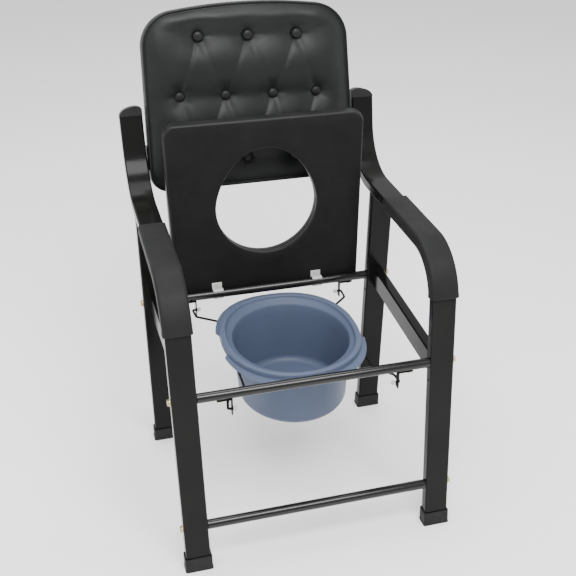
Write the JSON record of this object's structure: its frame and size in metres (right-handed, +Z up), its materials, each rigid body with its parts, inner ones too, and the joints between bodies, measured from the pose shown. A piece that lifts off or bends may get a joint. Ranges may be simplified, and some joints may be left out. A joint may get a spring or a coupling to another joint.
{
  "type": "commode chair",
  "caption": "Armed commode chair with bent flat-oval steel sides, a tufted backrest, a seat with an opening that flips up, and a pail that slides out on rods.",
  "frame": {"origin": "on the floor, at the centre of the chair's plan outline", "axes": "+Z up; the sitter faces -Y; +X to the right as seen from the front"},
  "size_m": [0.5844, 0.683, 0.981],
  "materials": {
    "black_enamel": "semi-gloss powder coat",
    "grey_pad": "matte soft-touch",
    "black_vinyl": "satin upholstery vinyl",
    "black_rubber": "matte",
    "black_plastic": "semi-gloss",
    "blue_plastic": "satin moulded",
    "white_plastic": "satin moulded",
    "black_wire": "semi-gloss coated wire",
    "zinc": "yellow zinc plated",
    "plywood": "black-covered plywood"
  },
  "bodies": {
    "frame": {"side_frame_left": "black_enamel", "rear_leg_left": "black_enamel", "side_rail_left": "black_enamel", "arm_pad_left": "grey_pad", "post_cap_left": "black_plastic", "foot_front_left": "black_rubber", "foot_rear_left": "black_rubber", "rod_left": "black_wire", "backrest_bracket_left": "black_enamel", "hanger_front_left": "black_enamel", "hanger_screw_front_left": "zinc", "rod_cap_front_left": "white_plastic", "hanger_rear_left": "black_enamel", "hanger_screw_rear_left": "zinc", "rod_cap_rear_left": "white_plastic", "bolt_front_left": "zinc", "bolt_lower_left": "zinc", "bolt_rear_left": "zinc", "side_frame_right": "black_enamel", "rear_leg_right": "black_enamel", "side_rail_right": "black_enamel", "arm_pad_right": "grey_pad", "post_cap_right": "black_plastic", "foot_front_right": "black_rubber", "foot_rear_right": "black_rubber", "rod_right": "black_wire", "backrest_bracket_right": "black_enamel", "hanger_front_right": "black_enamel", "hanger_screw_front_right": "zinc", "rod_cap_front_right": "white_plastic", "hanger_rear_right": "black_enamel", "hanger_screw_rear_right": "zinc", "rod_cap_rear_right": "white_plastic", "bolt_front_right": "zinc", "bolt_lower_right": "zinc", "bolt_rear_right": "zinc", "cross_bar_front": "black_enamel", "cross_bar_lower": "black_enamel", "cross_bar_rear": "black_enamel", "backrest_board": "black_vinyl", "backrest_cushion": "black_vinyl", "backrest_button_1_1": "black_vinyl", "backrest_button_1_2": "black_vinyl", "backrest_button_1_3": "black_vinyl", "backrest_button_2_1": "black_vinyl", "backrest_button_2_2": "black_vinyl", "backrest_button_2_3": "black_vinyl", "backrest_button_2_4": "black_vinyl", "backrest_button_3_1": "black_vinyl", "backrest_button_3_2": "black_vinyl", "backrest_button_3_3": "black_vinyl"},
    "seat": {"seat_board": "plywood", "seat_cushion": "black_vinyl", "hinge_clip_left": "white_plastic", "clip_screw_left": "zinc", "hinge_clip_right": "white_plastic", "clip_screw_right": "zinc"},
    "pail": {"pail": "blue_plastic"}
  },
  "joints": [
    {"name": "seat_hinge", "type": "hinge", "parent": "frame", "child": "seat", "pos_m": [0, 0.1076, 0.38], "axis": [1, 0, 0], "range_deg": [0, 92]},
    {"name": "pail_slide", "type": "slide", "parent": "frame", "child": "pail", "axis": [0, -1, 0], "range_m": [0, 0.33]}
  ]
}
